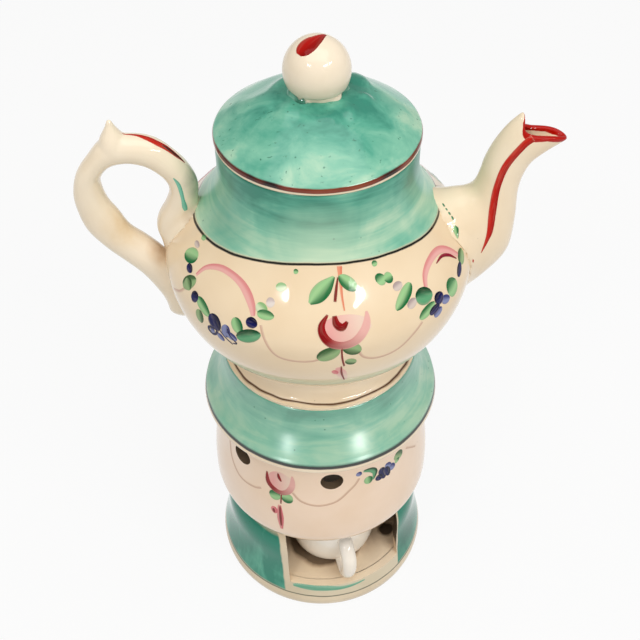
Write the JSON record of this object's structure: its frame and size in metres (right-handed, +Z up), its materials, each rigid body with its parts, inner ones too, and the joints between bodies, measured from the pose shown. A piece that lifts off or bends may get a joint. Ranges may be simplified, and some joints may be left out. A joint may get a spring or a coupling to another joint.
{
  "type": "veilleuse",
  "caption": "Porcelain tea warmer: lidded spouted teapot on a hollow round lamp stand whose doorway holds an oil cup with a floating wick; pot, lid, cup and float lift or slide out.",
  "frame": {"origin": "centre of the stand's flat underside, on the axis of the stand and the pot", "axes": "+Z up the axis, +X towards the spout, -Y towards the front, with the doorway turned a little from -Y towards +X"},
  "size_m": [0.1465, 0.097, 0.2301],
  "materials": {
    "glaze_cream": "glossy cream glaze over white porcelain, with painted flowers",
    "glaze_teal": "glossy hand-brushed blue-green glaze",
    "cork": "cut cork",
    "tin": "thin tinplate",
    "cotton": "braided cotton with a charred tip"
  },
  "bodies": {
    "stand": {"stand_base": "glaze_teal", "stand_floor": "glaze_cream", "stand_bulb": "glaze_cream", "stand_skirt": "glaze_teal"},
    "teapot": {"pot_body": "glaze_cream", "pot_foot_ring": "glaze_cream", "pot_spout": "glaze_cream", "pot_handle": "glaze_cream"},
    "lid": {"lid_dome": "glaze_teal", "lid_flange": "glaze_cream", "lid_knob": "glaze_cream"},
    "godet": {"godet_cup": "glaze_cream", "godet_handle": "glaze_cream"},
    "wick_float": {"float_cork": "cork", "float_disc": "tin", "float_wick": "cotton"}
  },
  "joints": [
    {"name": "teapot_lift", "type": "slide", "parent": "stand", "child": "teapot", "axis": [0, 0, 1], "range_m": [0, 0.06]},
    {"name": "lid_lift", "type": "slide", "parent": "teapot", "child": "lid", "axis": [0, 0, 1], "range_m": [0, 0.05]},
    {"name": "godet_slide", "type": "slide", "parent": "stand", "child": "godet", "axis": [0.2672, -0.9636, 0], "range_m": [-0.012, 0.06]},
    {"name": "float_rise", "type": "slide", "parent": "godet", "child": "wick_float", "axis": [0, 0, 1], "range_m": [0, 0.009]}
  ]
}
